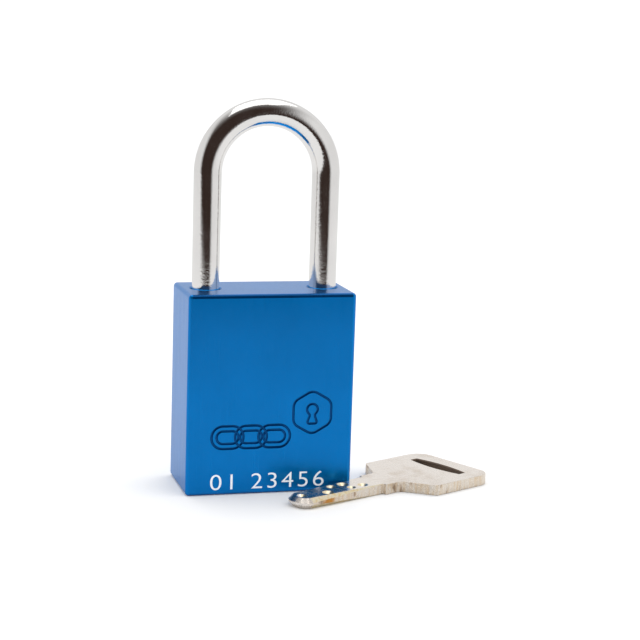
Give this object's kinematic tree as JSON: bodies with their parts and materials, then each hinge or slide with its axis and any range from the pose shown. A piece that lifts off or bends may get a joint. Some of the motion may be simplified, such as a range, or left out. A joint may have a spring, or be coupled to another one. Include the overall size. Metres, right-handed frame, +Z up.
{
  "type": "keyed safety padlock",
  "caption": "Rectangular keyed safety padlock: anodised aluminium block body, round bent steel shackle, dimple-key cylinder in the base and a flat key lying beside it.",
  "frame": {"origin": "the point where the axis of the shackle's long heel leg meets the plane of the body's base", "axes": "+Z up along the shackle's legs; +X from the heel leg to the toe leg; +Y from the marked front face to the plain back face"},
  "size_m": [0.0748, 0.0361, 0.092],
  "materials": {
    "anodised_blue": "satin blue anodised aluminium",
    "chrome_plate": "polished chrome plate on steel",
    "nickel_plate": "worn nickel plate on brass",
    "turned_brass": "turned brass",
    "hardened_steel": "ground and hardened steel",
    "zinc_steel": "zinc plated steel",
    "spring_steel": "bright spring steel wire and strip"
  },
  "bodies": {
    "case": {"body": "anodised_blue", "cylinder_shell": "turned_brass", "cylinder_screw": "zinc_steel", "pin_cover_strip": "turned_brass", "shackle_spring": "spring_steel", "driver_pin_1": "turned_brass", "driver_pin_2": "turned_brass", "driver_pin_3": "turned_brass", "driver_pin_4": "turned_brass", "driver_pin_5": "turned_brass", "driver_pin_6": "turned_brass", "pin_spring_1": "spring_steel", "pin_spring_2": "spring_steel", "pin_spring_3": "spring_steel", "pin_spring_4": "spring_steel", "pin_spring_5": "spring_steel", "pin_spring_6": "spring_steel"},
    "shackle": {"shackle": "chrome_plate"},
    "plug": {"plug": "turned_brass", "plug_circlip": "spring_steel", "locking_cam": "zinc_steel", "key_pin_1": "turned_brass", "key_pin_2": "turned_brass", "key_pin_3": "turned_brass", "key_pin_4": "turned_brass", "key_pin_5": "turned_brass", "key_pin_6": "turned_brass"},
    "toe_ball": {"toe_ball": "hardened_steel"},
    "heel_ball": {"heel_ball": "hardened_steel"},
    "key": {"key": "nickel_plate"}
  },
  "joints": [
    {"name": "shackle_lift", "type": "slide", "parent": "case", "child": "shackle", "axis": [0, 0, 1], "range_m": [0, 0.015], "deforming": ["shackle_spring"]},
    {"name": "plug_turn", "type": "hinge", "parent": "case", "child": "plug", "pos_m": [0.0142, 0, 0], "axis": [0, 0, 1], "range_deg": [-90, 0]},
    {"name": "toe_ball_slide", "type": "slide", "parent": "case", "child": "toe_ball", "axis": [1, 0, 0], "range_m": [0, 0.00245]},
    {"name": "heel_ball_slide", "type": "slide", "parent": "case", "child": "heel_ball", "axis": [-1, 0, 0], "range_m": [0, 0.00056]},
    {"name": "key_lift", "type": "slide", "parent": "case", "child": "key", "axis": [0, 0, 1], "range_m": [0, 0.1]}
  ],
  "couplings": [
    {"joint": "toe_ball_slide", "follows": "plug_turn", "m_per_rad": -0.0015279},
    {"joint": "heel_ball_slide", "follows": "plug_turn", "m_per_rad": -0.00035014}
  ]
}
